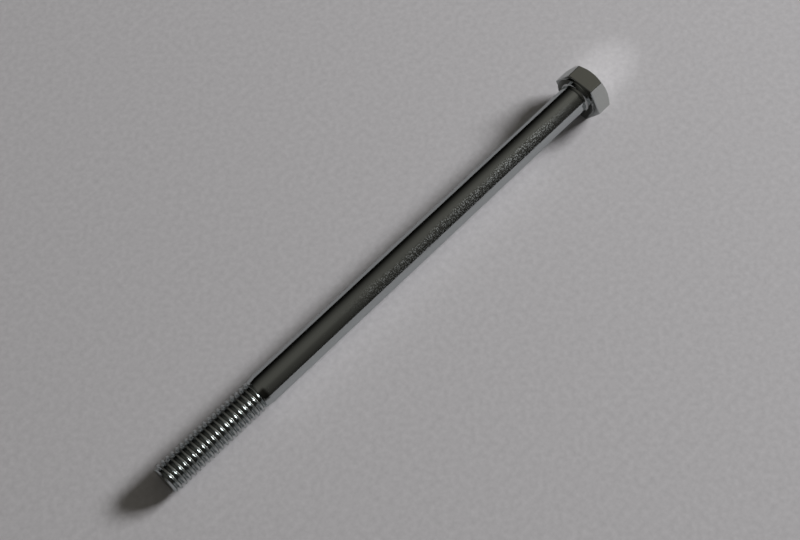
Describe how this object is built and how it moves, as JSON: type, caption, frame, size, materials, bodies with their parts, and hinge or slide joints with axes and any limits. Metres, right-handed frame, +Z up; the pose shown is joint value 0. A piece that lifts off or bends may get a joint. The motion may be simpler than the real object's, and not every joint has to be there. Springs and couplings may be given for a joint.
{
  "type": "hex head bolt",
  "caption": "Long hex head bolt with a chamfered head, a washer face, a plain full-size shank, a tapered neck and a coarse right-hand thread.",
  "frame": {"origin": "on the surface that the bolt lies on, under the middle of its outer size", "axes": "+X along the bolt from the head towards the thread tip, +Z up, +Y across; at rest the bolt's axis dips by about 1 degree towards the tip"},
  "size_m": [0.145, 0.0146, 0.0128],
  "materials": {
    "zinc_plated_steel": "bright zinc plating with a slight blue cast"
  },
  "bodies": {
    "root": {"bolt": "zinc_plated_steel"}
  },
  "joints": []
}
